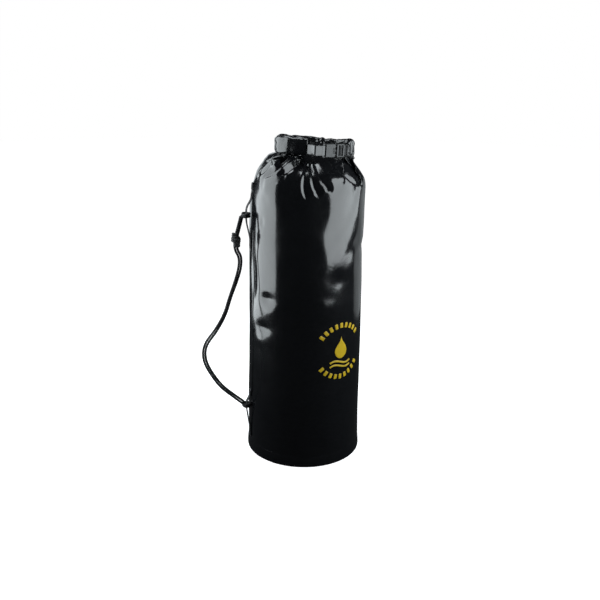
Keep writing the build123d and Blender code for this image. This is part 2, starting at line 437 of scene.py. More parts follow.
# ---------------------------------------------------------------- finishes


class Nodes:
    """Small helper that adds and links shader nodes."""

    def __init__(self, name: str) -> None:
        """Start a material with a Principled shader."""
        self.material = bpy.data.materials.new(name)
        self.material.use_nodes = True
        self.tree = self.material.node_tree
        self.shader = self.tree.nodes["Principled BSDF"]

    def add(self, kind: str, inputs: dict | None = None, **settings) -> bpy.types.Node:
        """Add a node, set its properties and link or set its inputs.

        Args:
            kind: node type.
            inputs: input name to a value or an output socket.
            **settings: node properties.

        Returns:
            The new node.
        """
        node = self.tree.nodes.new(kind)
        for key, value in settings.items():
            setattr(node, key, value)
        for key, value in (inputs or {}).items():
            if isinstance(value, bpy.types.NodeSocket):
                self.tree.links.new(value, node.inputs[key])
            else:
                node.inputs[key].default_value = value
        return node

    def set(self, **values) -> None:
        """Set or link the shader's sockets, with underscores for spaces."""
        for key, value in values.items():
            socket = self.shader.inputs[key.replace("_", " ")]
            if isinstance(value, bpy.types.NodeSocket):
                self.tree.links.new(value, socket)
            else:
                socket.default_value = value

    def place(self) -> bpy.types.NodeSocket:
        """Object coordinates."""
        return self.add("ShaderNodeTexCoord").outputs["Object"]

    def cloth(self) -> bpy.types.NodeSocket:
        """The piece's own UV map, in metres."""
        return self.add("ShaderNodeUVMap", uv_map="cloth").outputs["UV"]

    def cloud(self, place: bpy.types.NodeSocket, scale: float, detail: float = 2.0,
              distortion: float = 0.0) -> bpy.types.NodeSocket:
        """Noise, finer with a larger scale."""
        inputs = {"Vector": place, "Scale": scale, "Detail": detail, "Distortion": distortion}
        return self.add("ShaderNodeTexNoise", inputs).outputs["Fac"]

    def stripes(self, place: bpy.types.NodeSocket, width: float, direction: str) -> bpy.types.NodeSocket:
        """Soft stripes across X or Y, each light or dark one about a width wide."""
        return self.add("ShaderNodeTexWave", {"Vector": place, "Scale": 1 / width / STRIPE_SCALE},
                        bands_direction=direction).outputs["Fac"]

    def combine(self, operation: str, first: bpy.types.NodeSocket,
                second: bpy.types.NodeSocket) -> bpy.types.NodeSocket:
        """One arithmetic operation on two values."""
        return self.add("ShaderNodeMath", {0: first, 1: second}, operation=operation).outputs[0]

    def shades(self, factor: bpy.types.NodeSocket, colour: tuple[float, float, float],
               gains: tuple[float, float]) -> bpy.types.NodeSocket:
        """Colour between a darker and a lighter shade of one colour.

        Args:
            factor: 0 gives the first shade and 1 the second.
            colour: the colour in the middle.
            gains: what the colour is multiplied by for each shade.

        Returns:
            The colour's socket.
        """
        mix = self.add("ShaderNodeMix", {"Factor": factor}, data_type="RGBA")
        for socket, gain in zip((mix.inputs[6], mix.inputs[7]), gains):
            socket.default_value = tuple(gain * channel for channel in colour) + (1,)
        return mix.outputs[2]

    def bump(self, height: bpy.types.NodeSocket, strength: float, distance: float,
             **under: bpy.types.NodeSocket) -> bpy.types.NodeSocket:
        """Relief from a height map, over the relief given as Normal."""
        inputs = {"Height": height, "Strength": strength, "Distance": distance, **under}
        return self.add("ShaderNodeBump", inputs).outputs["Normal"]

    def ramp(self, factor: bpy.types.NodeSocket,
             stops: Iterable[tuple[float, float]]) -> bpy.types.NodeSocket:
        """Grey ramp through stops of position and value."""
        node = self.add("ShaderNodeValToRGB", {"Fac": factor})
        elements = node.color_ramp.elements
        for index, (position, value) in enumerate(stops):
            element = elements[index] if index < 2 else elements.new(position)
            element.position = position
            element.color = (value, value, value, 1)
        return node.outputs["Color"]


@dataclass(frozen=True)
class CoatedFabric:
    """Glossy PVC-coated fabric: faint scrim grid, fine creases and scuffs."""

    name: str = "coated_fabric"
    colour: tuple[float, float, float] = (0.0042, 0.0046, 0.0054)
    roughness: tuple[float, float] = (0.13, 0.24)
    thread: float = 0.0011
    scuff_scale: float = 23.0
    mottle_scale: float = 160.0
    crease_scale: float = 34.0
    crease: float = 0.22
    weave: float = 0.05

    def material(self) -> bpy.types.Material:
        """Build the finish.

        Returns:
            The material, which reads the UV map cloth and Object coordinates.
        """
        nodes = Nodes(self.name)
        place, cloth = nodes.place(), nodes.cloth()
        scuff = nodes.cloud(place, self.scuff_scale, 6.0)
        rough = nodes.ramp(scuff, ((0.3, self.roughness[0]), (0.75, self.roughness[1])))
        tone = nodes.shades(nodes.cloud(place, self.mottle_scale, 3.0), self.colour, (0.6, 1.7))
        threads = [nodes.stripes(cloth, self.thread, direction) for direction in ("X", "Y")]
        grid = nodes.combine("MAXIMUM", *threads)
        creases = nodes.bump(nodes.cloud(place, self.crease_scale, 4.0, 0.8), self.crease, 0.0022)
        weave = nodes.bump(grid, self.weave, 0.0003, Normal=creases)
        nodes.set(Base_Color=tone, Roughness=rough, Normal=weave, Coat_Weight=0.5, Coat_Roughness=0.08,
                  Specular_IOR_Level=0.55)
        return nodes.material


@dataclass(frozen=True)
class WovenWebbing:
    """Woven polyester webbing: ribs across and a herringbone along."""

    name: str = "webbing"
    colour: tuple[float, float, float] = (0.012, 0.012, 0.013)
    rib: float = 0.0012

    def material(self) -> bpy.types.Material:
        """Build the finish.

        Returns:
            The material, which reads the UV map cloth.
        """
        nodes = Nodes(self.name)
        cloth = nodes.cloth()
        ribs = [nodes.stripes(cloth, self.rib, direction) for direction in ("X", "Y")]
        weave = nodes.combine("MULTIPLY", *ribs)
        # The colour is painted light and shade: lighter where the weave's ribs stand up and darker in the
        # grooves between them, from the same height that the bump uses.
        tone = nodes.shades(weave, self.colour, (0.5, 2.2))
        nodes.set(Base_Color=tone, Roughness=0.62, Normal=nodes.bump(weave, 0.8, 0.0005),
                  Sheen_Weight=0.15, Sheen_Roughness=0.4)
        return nodes.material


@dataclass(frozen=True)
class BraidedCord:
    """Braided polyester cord: diagonal plaits that follow the cord."""

    name: str = "cord"
    colour: tuple[float, float, float] = (0.010, 0.010, 0.011)
    pitch: float = 0.0022
    slant: float = 0.9

    def material(self) -> bpy.types.Material:
        """Build the finish.

        Returns:
            The material, which reads the UV map cloth.
        """
        nodes = Nodes(self.name)
        cloth = nodes.cloth()
        plaits = []
        for turn in (self.slant, -self.slant):
            slanted = nodes.add("ShaderNodeMapping", {"Vector": cloth, "Rotation": (0, 0, turn)}).outputs[0]
            plaits.append(nodes.stripes(slanted, self.pitch, "X"))
        braid = nodes.combine("MAXIMUM", *plaits)
        # The colour is painted light and shade: lighter on the raised plaits and darker in the valleys
        # between them, from the same height that the bump uses.
        tone = nodes.shades(braid, self.colour, (0.35, 2.0))
        nodes.set(Base_Color=tone, Roughness=0.55, Normal=nodes.bump(braid, 0.9, 0.0006),
                  Sheen_Weight=0.1, Sheen_Roughness=0.4)
        return nodes.material


@dataclass(frozen=True)
class MouldedPlastic:
    """Moulded acetal: smooth and dark, with a fine spark-eroded grain."""

    name: str = "buckle_plastic"
    colour: tuple[float, float, float] = (0.016, 0.017, 0.018)
    roughness: tuple[float, float] = (0.20, 0.34)
    cloud_scale: float = 220.0
    grain_scale: float = 2600.0

    def material(self) -> bpy.types.Material:
        """Build the finish.

        Returns:
            The material, which reads Object coordinates.
        """
        nodes = Nodes(self.name)
        place = nodes.place()
        cloud = nodes.cloud(place, self.cloud_scale, 4.0)
        rough = nodes.ramp(cloud, ((0.35, self.roughness[0]), (0.7, self.roughness[1])))
        tone = nodes.shades(cloud, self.colour, (0.7, 1.4))
        grain = nodes.bump(nodes.cloud(place, self.grain_scale), 0.12, 0.0002)
        nodes.set(Base_Color=tone, Roughness=rough, Normal=grain)
        return nodes.material


@dataclass(frozen=True)
class PrintInk:
    """Screen-printed ink: thin and slightly uneven."""

    name: str = "print_ink"
    colour: tuple[float, float, float] = (0.62, 0.42, 0.010)
    cloud_scale: float = 90.0
    grain_scale: float = 900.0

    def material(self) -> bpy.types.Material:
        """Build the finish.

        Returns:
            The material, which reads Object coordinates.
        """
        nodes = Nodes(self.name)
        place = nodes.place()
        tone = nodes.shades(nodes.cloud(place, self.cloud_scale, 8.0), self.colour, (0.72, 1.2))
        grain = nodes.cloud(place, self.grain_scale, 3.0)
        rough = nodes.ramp(grain, ((0.3, 0.34), (0.7, 0.5)))
        nodes.set(Base_Color=tone, Roughness=rough, Normal=nodes.bump(grain, 0.15, 0.0003))
        return nodes.material


# ---------------------------------------------------------------- studio


@dataclass(frozen=True)
class SoftBox:
    """Upright soft box that faces the bag, with an optional black flag before one corner.

    The azimuth is in degrees from the front towards the left. The span is the heights of the lower and upper
    edges. Each corner of the flag is a distance from the box's middle towards the left, and a height.
    """

    name: str
    azimuth: float
    away: float
    span: tuple[float, float]
    width: float
    radiance: float
    flag: tuple[tuple[float, float], ...] = ()


@dataclass
class Studio:
    """Floor, backdrop, soft lights and camera."""

    camera_place: Vector = field(default_factory=lambda: Vector((0.0, -1.595, 0.853)))
    pitch: float = math.radians(18.03)
    roll: float = math.radians(0.9)
    sensor: float = 36
    focal: float = 784 / 600 * 36
    shift: float = -5 / 600
    floor_radius: float = 6.0
    dome_radius: float = 6.2
    light_colour: tuple[float, float, float] = (0.90, 0.97, 1.0)
    world_colour: tuple[float, float, float] = (0.9, 0.95, 1.0)
    world_strength: float = 0.02
    flag_gap: float = 0.01
    boxes: tuple[SoftBox, ...] = (
        SoftBox("left_box", 87, 0.62, (0.10, 1.25), 0.70, 3.6, (
            (-0.42, 0.215), (-0.33, 0.195), (-0.21, 0.165), (0.04, 0.121), (0.18, 0.098), (0.18, 0.07),
            (-0.42, 0.07))),
        SoftBox("right_box", -70, 0.85, (0.22, 1.45), 1.0, 3.8, (
            (0.30, 0.215), (0.18, 0.247), (-0.06, 0.279), (-0.22, 0.311), (-0.56, 0.352), (-0.56, 0.19),
            (0.30, 0.19))),
        SoftBox("back_right_box", -133, 0.95, (0.01, 0.62), 0.73, 0.36),
        SoftBox("back_left_box", 165, 0.95, (0.08, 0.80), 0.6, 0.8))

    def build(self) -> None:
        """Make the whole studio."""
        self._camera()
        self._floor()
        self._dome()
        for box in self.boxes:
            self._panel(box)
        self._area("top_box", Vector((-0.35, 0.25, 1.75)), Vector((0, 0, 0.6)), (0.55, 0.55), 4.5)
        self._world()
        bpy.context.scene.view_settings.view_transform = "Standard"

    def _camera(self) -> None:
        """Camera at the viewing angle, level but for a slight roll."""
        data = bpy.data.cameras.new("camera")
        data.lens = self.focal
        data.sensor_width = self.sensor
        data.shift_x = self.shift
        data.clip_start = 0.01
        camera = bpy.data.objects.new("camera", data)
        bpy.context.scene.collection.objects.link(camera)
        turn = Matrix.Rotation(math.pi / 2 - self.pitch, 4, "X") @ Matrix.Rotation(self.roll, 4, "Z")
        camera.matrix_world = Matrix.Translation(self.camera_place) @ turn
        bpy.context.scene.camera = camera

    def _emitter(self, name: str, colour: tuple[float, float, float], strength: float) -> bpy.types.Material:
        """Black material that gives off an even light, or none."""
        nodes = Nodes(name)
        nodes.set(Base_Color=(0, 0, 0, 1), Roughness=1.0, Emission_Color=colour + (1,),
                  Emission_Strength=strength)
        return nodes.material

    def _hide(self, piece: bpy.types.Object, *rays: str) -> None:
        """Hide a piece of the studio from some kinds of ray."""
        for ray in rays:
            setattr(piece, f"visible_{ray}", False)

    def _floor(self) -> None:
        """Pale floor under the bag that glows. The glow is painted light: weaker round the bag's foot, which
        paints the floor a little darker there, and full further out.
        """
        bm = bmesh.new()
        bmesh.ops.create_circle(bm, cap_ends=True, segments=96, radius=self.floor_radius)
        floor = mesh_object("floor", bm, False)
        nodes = Nodes("pale_floor")
        place = nodes.place()
        away = nodes.add("ShaderNodeVectorMath", {0: place}, operation="LENGTH").outputs["Value"]
        rough = nodes.ramp(nodes.cloud(place, 3.0), ((0.3, 0.7), (0.7, 0.8)))
        # Painted light: the floor's glow rises from 0.72 near the bag's foot to 1.0 from 0.9 m out, so the
        # floor is painted darker round the foot.
        painted_floor_glow = nodes.add("ShaderNodeMapRange", {"Value": away, "From Min": 0.2, "From Max": 0.9,
                                                "To Min": 0.72, "To Max": 1.0},
                         interpolation_type="SMOOTHSTEP")
        nodes.set(Base_Color=(0.9, 0.9, 0.9, 1), Roughness=rough)
        nodes.set(Emission_Color=(1, 1, 1, 1), Emission_Strength=painted_floor_glow.outputs["Result"])
        floor.data.materials.append(nodes.material)
        self._hide(floor, "glossy", "diffuse")

    def _dome(self) -> None:
        """Pale dome that only the camera sees."""
        bm = bmesh.new()
        bmesh.ops.create_uvsphere(bm, u_segments=48, v_segments=24, radius=self.dome_radius)
        dome = mesh_object("backdrop", bm)
        dome.data.materials.append(self._emitter("pale_backdrop", (1.0, 1.0, 1.0), 1.0))
        self._hide(dome, "glossy", "diffuse", "shadow", "transmission")

    def _area(self, name: str, place: Vector, target: Vector, size: tuple[float, float],
              power: float) -> None:
        """Rectangular soft light that the camera doesn't see.

        Args:
            name: name of the light.
            place: centre of the light.
            target: point that it faces.
            size: width and height.
            power: power in watts.
        """
        data = bpy.data.lights.new(name, "AREA")
        data.shape = "RECTANGLE"
        data.size, data.size_y = size
        data.energy = power
        data.color = self.light_colour
        lamp = bpy.data.objects.new(name, data)
        bpy.context.scene.collection.objects.link(lamp)
        turn = (target - place).to_track_quat("-Z", "Y").to_matrix().to_4x4()
        lamp.matrix_world = Matrix.Translation(place) @ turn
        lamp.visible_camera = False

    def _panel(self, box: SoftBox) -> None:
        """Set up one soft box and its flag."""
        turn = math.radians(box.azimuth)
        height = box.span[1] - box.span[0]
        outward = around(-turn, 1, 0)
        place = outward * box.away + Vector((0, 0, sum(box.span) / 2))
        power = math.pi * box.width * height * box.radiance
        self._area(box.name, place, Vector((0, 0, place.z)), (box.width, height), power)
        if not box.flag:
            return
        leftward = Vector((-math.cos(turn), math.sin(turn), 0))
        before = outward * (box.away - self.flag_gap)
        bm = bmesh.new()
        bm.faces.new([bm.verts.new(before + leftward * aside + Vector((0, 0, up))) for aside, up in box.flag])
        card = mesh_object(box.name + "_flag", bm, False)
        card.data.materials.append(self._emitter(box.name + "_flag", (0.0, 0.0, 0.0), 0.0))
        self._hide(card, "camera", "shadow")

    def _world(self) -> None:
        """Very dim, cool light from everywhere."""
        world = bpy.data.worlds.new("studio")
        world.use_nodes = True
        colour, strength = world.node_tree.nodes["Background"].inputs[:2]
        colour.default_value = self.world_colour + (1,)
        strength.default_value = self.world_strength
        bpy.context.scene.world = world


# ---------------------------------------------------------------- bag


@dataclass(frozen=True)
class Petal:
    """Leaf-shaped fold that runs down the shoulder from the roll, between two raised rims."""

    top: tuple[float, float]
    foot: tuple[float, float]
    width: float
    depth: float
    steep: int = -1

    def depth_at(self, azimuth: float, height: float) -> float:
        """Depth of the fold at an azimuth in degrees and a height, negative on its rims.

        One side of the fold is steep and the other a long gentle slope.
        """
        along = (self.top[1] - height) / (self.top[1] - self.foot[1])
        if not -0.1 < along < 1.1:
            return 0.0
        middle = self.top[0] + (self.foot[0] - self.top[0]) * along ** 1.3 if along > 0 else self.top[0]
        swell = max(0.0, math.sin(math.pi * min(1.0, max(0.0, along)) ** 1.5)) ** 0.7
        half = self.width * (0.25 + 0.75 * swell)
        away = -self.steep * (azimuth - middle) / half
        ends = smooth((along + 0.1) / 0.25) * smooth((1.05 - along) / 0.16)
        rim = -0.10 * math.exp(-((abs(away) - 1.1) / 0.14) ** 2)
        floor = smooth((away + 1) / 0.30) * min(1.0, (1 - away) / 1.7) if abs(away) < 1 else 0.0
        return self.depth * ends * (floor + rim)


@dataclass(frozen=True)
class Dimple:
    """Oval dent in the tube."""

    azimuth: float
    height: float
    wide: float
    high: float
    depth: float

    def depth_at(self, azimuth: float, height: float) -> float:
        """Depth of the dent at an azimuth in degrees and a height."""
        away = ((azimuth - self.azimuth) / self.wide) ** 2 + ((height - self.height) / self.high) ** 2
        return self.depth * math.exp(-away) if away < 9 else 0.0


@dataclass
class BagSkin:
    """The bag's fabric: the tube, its gathered shoulder and the mouth tucked into the roll."""

    columns: int = 96
    lower_rows: int = 24
    upper_rows: int = 36
    foot_gap: float = 0.0006
    joint_height: float = 0.43
    shoulder: float = 0.56
    roll_radius: float = 0.070
    layer: float = 0.004
    opening: tuple[float, float] = (math.radians(-13), math.radians(62))
    tuck: float = -0.015
    left_outline: tuple[tuple[float, float], ...] = (
        (0.43, 0.1183), (0.56, 0.1188), (0.583, 0.1172), (0.595, 0.1150), (0.607, 0.1115), (0.620, 0.1035),
        (0.632, 0.0940), (0.643, 0.0850), (0.650, 0.0780))
    right_outline: tuple[tuple[float, float], ...] = (
        (0.43, 0.1183), (0.56, 0.1183), (0.583, 0.1183), (0.595, 0.1165), (0.607, 0.1090), (0.620, 0.0985),
        (0.632, 0.0890), (0.643, 0.0840), (0.650, 0.0820))
    petals: tuple[Petal, ...] = (
        Petal((2.0, 0.652), (1.0, 0.572), 7.5, 0.0046), Petal((8.0, 0.652), (13.5, 0.575), 7.0, 0.0046),
        Petal((14.0, 0.652), (26.0, 0.584), 7.2, 0.0050),
        Petal((-12.0, 0.648), (-29.0, 0.614), 7.0, 0.0045, 1),
        Petal((-26.0, 0.648), (-48.0, 0.606), 7.0, 0.0045, 1),
        Petal((-44.0, 0.645), (-66.0, 0.600), 6.0, 0.004, 1),
        Petal((44.0, 0.645), (60.0, 0.592), 6.0, 0.0040),
        Petal((-120.0, 0.645), (-112.0, 0.600), 6.0, 0.004),
        Petal((150.0, 0.645), (146.0, 0.590), 7.0, 0.0045),
        Petal((178.0, 0.645), (184.0, 0.585), 7.0, 0.0045))
    dimples: tuple[Dimple, ...] = (
        Dimple(-41, 0.363, 8, 0.0105, 0.0030), Dimple(-45, 0.300, 8, 0.0100, 0.0028),
        Dimple(-62, 0.400, 6, 0.045, 0.0026), Dimple(-36, 0.335, 7, 0.016, -0.0012),
        Dimple(-66, 0.320, 7, 0.040, -0.0014), Dimple(-50, 0.268, 9, 0.012, -0.0012),
        Dimple(34, 0.405, 9, 0.016, 0.0018), Dimple(52, 0.430, 8, 0.020, -0.0012),
        Dimple(22, 0.375, 9, 0.014, 0.0012), Dimple(-47, 0.520, 3, 0.011, 0.0009),
        Dimple(150, 0.36, 10, 0.02, 0.0020), Dimple(200, 0.41, 9, 0.018, 0.0018))
    slack: float = 1.25
    upper_length: float = 0.32
    ease_rounds: int = 12
    ease_in: float = 0.11
    frames: int = 50
    closing_share: float = 0.7
    cloth: tuple[tuple[str, float | str], ...] = (
        ("quality", 6), ("mass", 0.25), ("tension_stiffness", 40), ("compression_stiffness", 40),
        ("shear_stiffness", 14), ("bending_stiffness", 5.0), ("bending_damping", 1.0), ("air_damping", 4),
        ("vertex_group_mass", "pins"), ("use_pressure", True), ("uniform_pressure_force", 8.0))
    inner_margin: float = 0.0045
    outer_margin: float = 0.0012

    def mouth_point(self, azimuth: float) -> Vector:
        """Where a column of the tube ends in the roll.

        The back half of the tube makes the roll's outer layer, and the front half its inner one.

        Args:
            azimuth: azimuth of the column on the tube, from the front towards the right.

        Returns:
            The point inside the roll.
        """
        middle = sum(self.opening) / 2
        half_gap = (self.opening[1] - self.opening[0]) / 2
        span = 2 * math.pi - 2 * half_gap
        turn = (azimuth - middle) % (2 * math.pi)
        outer = math.pi / 2 <= turn <= 3 * math.pi / 2
        if outer:
            share = (turn - math.pi / 2) / math.pi
        else:
            share = ((math.pi / 2 - turn) % (2 * math.pi)) / math.pi
        from_end = min(share, 1 - share) * span * self.roll_radius
        apart = self.layer * smooth(from_end / 0.012)
        place = middle + half_gap + share * span
        return TOP.point(place, roll_reach(place) + (apart if outer else -apart), self.tuck)

    def tube_point(self, azimuth: float, height: float) -> Vector:
        """Point of the tube below the shoulder."""
        return around(azimuth, bag_radius(min(height, TUBE_HEIGHT)), height)

    def column_length(self, azimuth: float) -> float:
        """Fabric between the shoulder and the roll along one column."""
        gap = (self.mouth_point(azimuth) - self.tube_point(azimuth, self.shoulder)).length
        return gap * self.slack

    def build(self) -> bpy.types.Object:
        """Make the fabric.

        Returns:
            The finished piece.
        """
        upper = self._upper()
        self._close(upper)
        piece = self._join(upper)
        self._refine(piece)
        self._dent(piece)
        return piece

    def _upper(self) -> bpy.types.Object:
        """Upper part of the tube, straight, as it is before it is rolled shut."""
        lengths = [self.column_length(2 * math.pi * step / self.columns) for step in range(self.columns + 1)]
        ease = np.array(lengths[:-1])
        for _ in range(self.ease_rounds):
            ease = (np.roll(ease, 1) + ease + np.roll(ease, -1)) / 3
        ease = np.append(ease, ease[0])

        def place(across: float, up: float) -> Vector:
            """Point of the straight tube."""
            azimuth = 2 * math.pi * across
            full = self.shoulder - self.joint_height + ease[round(across * self.columns)]
            foot = self.tube_point(azimuth, self.joint_height)
            rise = full * up
            radius = bag_radius(min(self.joint_height + rise, TUBE_HEIGHT))
            return around(azimuth, radius, foot.z + rise)

        bm = surface(self.columns, self.upper_rows, place, True, (FABRIC_GIRTH, self.upper_length))
        return mesh_object("upper_cloth", bm)

    def _close(self, piece: bpy.types.Object) -> None:
        """Roll the mouth shut by cloth simulation.

        Args:
            piece: the straight upper tube, whose mesh takes the result.
        """
        mesh = piece.data
        rest = [vert.co.copy() for vert in mesh.vertices]
        uv = {}
        layer = mesh.uv_layers["cloth"].data
        for loop in mesh.loops:
            uv[loop.vertex_index] = layer[loop.index].uv.copy()
        top = [i for i, place in uv.items() if place.y > self.upper_length - 1e-5]
        bottom = [i for i, place in uv.items() if place.y < self.upper_length / self.upper_rows * 1.5]
        piece.shape_key_add(name="Basis")
        closed = piece.shape_key_add(name="closed")
        for index in top:
            closed.data[index].co = self.mouth_point(azimuth_of(rest[index]))
        closed.value = 0
        closed.keyframe_insert("value", frame=1)
        closed.value = 1
        closed.keyframe_insert("value", frame=int(self.frames * self.closing_share))
        pins = piece.vertex_groups.new(name="pins")
        pins.add(top + bottom, 1.0, "REPLACE")
        modifier = piece.modifiers.new("cloth", "CLOTH")
        for setting, value in self.cloth:
            setattr(modifier.settings, setting, value)
        modifier.settings.effector_weights.gravity = 0
        modifier.collision_settings.use_collision = False
        modifier.point_cache.frame_start = 1
        modifier.point_cache.frame_end = self.frames
        scene = bpy.context.scene
        for step in range(1, self.frames + 1):
            scene.frame_set(step)
        shape = piece.evaluated_get(bpy.context.evaluated_depsgraph_get()).to_mesh()
        places = [vert.co.copy() for vert in shape.vertices]
        piece.modifiers.clear()
        piece.shape_key_clear()
        if piece.animation_data:
            piece.animation_data_clear()
        for index, vert in enumerate(mesh.vertices):
            vert.co = self._settle(rest[index].lerp(places[index], smooth(uv[index].y / self.ease_in)))
        scene.frame_set(1)

    def _settle(self, place: Vector) -> Vector:
        """Keep a point of the shoulder near its full, rounded outline, with room left for folds.

        The outline holds right up to the roll at both sides, and lets go earlier at the front and the back.
        """
        reach = max(Vector((place.x, place.y)).length, 1e-6)
        side = place.x / reach
        left, right = (float(np.interp(place.z, *zip(*outline)))
                       for outline in (self.left_outline, self.right_outline))
        full = left + (right - left) * (1 + side) / 2
        wanted = min(max(reach, full - self.inner_margin), full + self.outer_margin)
        under_roll = (TOP.matrix.inverted() @ place).z
        front_hold = 0.85 * smooth((0.640 - place.z) / 0.028)
        side_hold = 0.93 * smooth((-0.0165 - under_roll) / 0.006)
        share = front_hold + (side_hold - front_hold) * side ** 2
        scale = (reach + (wanted - reach) * share) / reach
        return Vector((place.x * scale, place.y * scale, place.z))

    def _join(self, upper: bpy.types.Object) -> bpy.types.Object:
        """Join the closed upper part to the plain lower tube."""

        def place(across: float, up: float) -> Vector:
            """Point of the lower tube."""
            rise = (self.joint_height - self.foot_gap) * up
            return self.tube_point(2 * math.pi * across, self.foot_gap + rise)

        bm = surface(self.columns, self.lower_rows, place, True, (FABRIC_GIRTH, self.joint_height))
        layer = bm.loops.layers.uv["cloth"]
        count = len(bm.verts)
        bm.from_mesh(upper.data)
        bm.verts.ensure_lookup_table()
        for face in bm.faces:
            if all(vert.index >= count for vert in face.verts):
                for loop in face.loops:
                    loop[layer].uv.y += self.joint_height
        bmesh.ops.remove_doubles(bm, verts=bm.verts, dist=0.0004)
        bpy.data.objects.remove(upper)
        return mesh_object("bag_skin", bm)

    def _refine(self, piece: bpy.types.Object) -> None:
        """Subdivide the simulated cloth into a smooth surface."""
        refine = piece.modifiers.new("refine", "SUBSURF")
        refine.levels = refine.render_levels = 2
        shape = piece.evaluated_get(bpy.context.evaluated_depsgraph_get())
        smooth_mesh = bpy.data.meshes.new_from_object(shape)
        piece.modifiers.clear()
        piece.data = smooth_mesh

    def _dent(self, piece: bpy.types.Object) -> None:
        """Folds that the roll pulls into the shoulder, and soft dents that packed gear leaves below."""
        for vert in piece.data.vertices:
            place = vert.co
            reach = Vector((place.x, place.y)).length
            outward = Vector((place.x, place.y, 0)).normalized()
            foot = smooth(place.z / 0.06)
            broad = noise.noise(Vector((place.x * 9, place.y * 9, place.z * 5 + 3)))
            middle = noise.noise(Vector((place.x * 24 + 7, place.y * 24, place.z * 13)))
            push = foot * (0.0020 * broad + 0.0010 * middle)
            if place.z > 0.6:
                push *= 0.4
            azimuth = math.degrees(azimuth_of(place))
            if reach > 0.06:
                push -= sum(petal.depth_at(azimuth, place.z) for petal in self.petals)
            push -= sum(dimple.depth_at(azimuth, place.z) for dimple in self.dimples)
            vert.co = place + outward * push


class SkinProbe:
    """Finds the bag's fabric from outside, so that trims can lie on it."""

    def __init__(self, skin: bpy.types.Object) -> None:
        """Index the fabric's faces."""
        bm = bmesh.new()
        bm.from_mesh(skin.data)
        self.tree = BVHTree.FromBMesh(bm)
        bm.free()

    def radius(self, azimuth: float, height: float) -> float:
        """Distance of the fabric from the bag's axis.

        Args:
            azimuth: angle from the front towards the right.
            height: height above the floor.

        Returns:
            The distance in metres.
        """
        outward = around(azimuth, 1, 0)
        hit = self.tree.ray_cast(outward * 0.3 + Vector((0, 0, height)), -outward, 0.3)[0]
        return bag_radius(height) if hit is None else Vector((hit.x, hit.y)).length

    def point(self, azimuth: float, height: float, lift: float) -> Vector:
        """Point standing off the fabric by a lift."""
        return around(azimuth, self.radius(azimuth, height) + lift, height)


@dataclass
class BaseBand:
    """Welded band round the foot of the tube, with a rolled lower edge and a slightly wavy top edge."""

    height: float = 0.024
    columns: int = 220
    waviness: float = 0.0009

    def build(self, fabric: bpy.types.Material) -> None:
        """Make the band and tie it to the bag.

        Args:
            fabric: finish of the band.
        """
        profile = ((-0.0028, 0.0012), (-0.0008, 0.0002), (0.0006, 0.0004), (0.0014, 0.0014),
                   (0.0017, 0.0032), (0.0016, 0.007), (0.0014, 0.012), (0.0010, 0.017),
                   (0.0005, self.height - 0.002), (0.0001, self.height), (-0.0010, self.height + 0.002))

        def place(across: float, up: float) -> Vector:
            """Point of the band's outer face."""
            azimuth = 2 * math.pi * across
            lift, height = profile[round(up * (len(profile) - 1))]
            wave = noise.noise(Vector((math.sin(azimuth) * 4, math.cos(azimuth) * 4, height * 30)))
            height += self.waviness * wave * smooth(height / self.height)
            return around(azimuth, bag_radius(height) + lift + 0.0003 * wave, height)

        bm = surface(self.columns, len(profile) - 1, place, True, (0.77, 0.03))
        piece = mesh_object("base_weld_band", bm)
        refine = piece.modifiers.new("refine", "SUBSURF")
        refine.levels = refine.render_levels = 1
        dress(piece, fabric)
        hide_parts("base_band")
        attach(piece, Body.BAG.value)
        log.info("base band ready")


@dataclass
class SideStrip:
    """Welded tape over the tube's vertical seam."""

    bottom: float = 0.140
    top: float = 0.498
    width: float = 0.026
    corner: float = 0.006

    def build(self, probe: SkinProbe, fabric: bpy.types.Material) -> None:
        """Lay the tape on the fabric and tie it to the bag.

        Args:
            probe: the bag's fabric.
            fabric: finish of the tape.
        """
        length = self.top - self.bottom
        half = self.width / 2 / bag_radius(0.35)

        def place(across: float, up: float) -> Vector:
            """Point of the tape's back face."""
            height = self.bottom + length * up
            from_end = min(up, 1 - up) * length
            rounding = math.sqrt(max(0.0, 1 - (1 - min(1.0, from_end / self.corner)) ** 2))
            azimuth = SEAM_AZIMUTH + (2 * across - 1) * half * (0.77 + 0.23 * rounding)
            return probe.point(azimuth, height, 0.0002)

        piece = mesh_object("side_weld_strip", surface(12, 210, place, False, (self.width, length)))
        thicken(piece, 0.0010, 1.0, 0.0004)
        dress(piece, fabric)
        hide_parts("side_strip")
        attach(piece, Body.BAG.value)
        log.info("side strip ready")


@dataclass
class Emblem:
    """Printed emblem that follows the fabric: a drop over two waves between two arcs of bars."""

    longest_edge: float = 0.0025
    rounds: int = 4
    film: float = 0.00035
    sunk: float = 0.0003

    def build(self, probe: SkinProbe, ink: bpy.types.Material) -> None:
        """Lay the print on the fabric and tie it to the bag.

        Args:
            probe: the bag's fabric.
            ink: finish of the print.
        """
        bm = bmesh.new()
        bm.from_mesh(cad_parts["emblem_print"].data)
        bmesh.ops.remove_doubles(bm, verts=bm.verts, dist=1e-6)
        inner = [face for face in bm.faces if all(self._lift(vert.co) < 0.0001 for vert in face.verts)]
        bmesh.ops.delete(bm, geom=inner, context="FACES")
        for _ in range(self.rounds):
            long = [edge for edge in bm.edges if edge.calc_length() > self.longest_edge]
            if not long:
                break
            bmesh.ops.subdivide_edges(bm, edges=long, cuts=1)
            bmesh.ops.triangulate(bm, faces=[face for face in bm.faces if len(face.verts) > 3])
        for vert in bm.verts:
            lift = self.film if self._lift(vert.co) > 0.0002 else -self.sunk
            vert.co = probe.point(azimuth_of(vert.co), vert.co.z, lift)
        piece = mesh_object("emblem_ink", bm)
        dress(piece, ink)
        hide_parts("emblem_print")
        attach(piece, Body.BAG.value)
        log.info("emblem ready: %d faces", len(piece.data.polygons))

    def _lift(self, place: Vector) -> float:
        """Height of a point above the plain tube."""
        return Vector((place.x, place.y)).length - bag_radius(place.z)


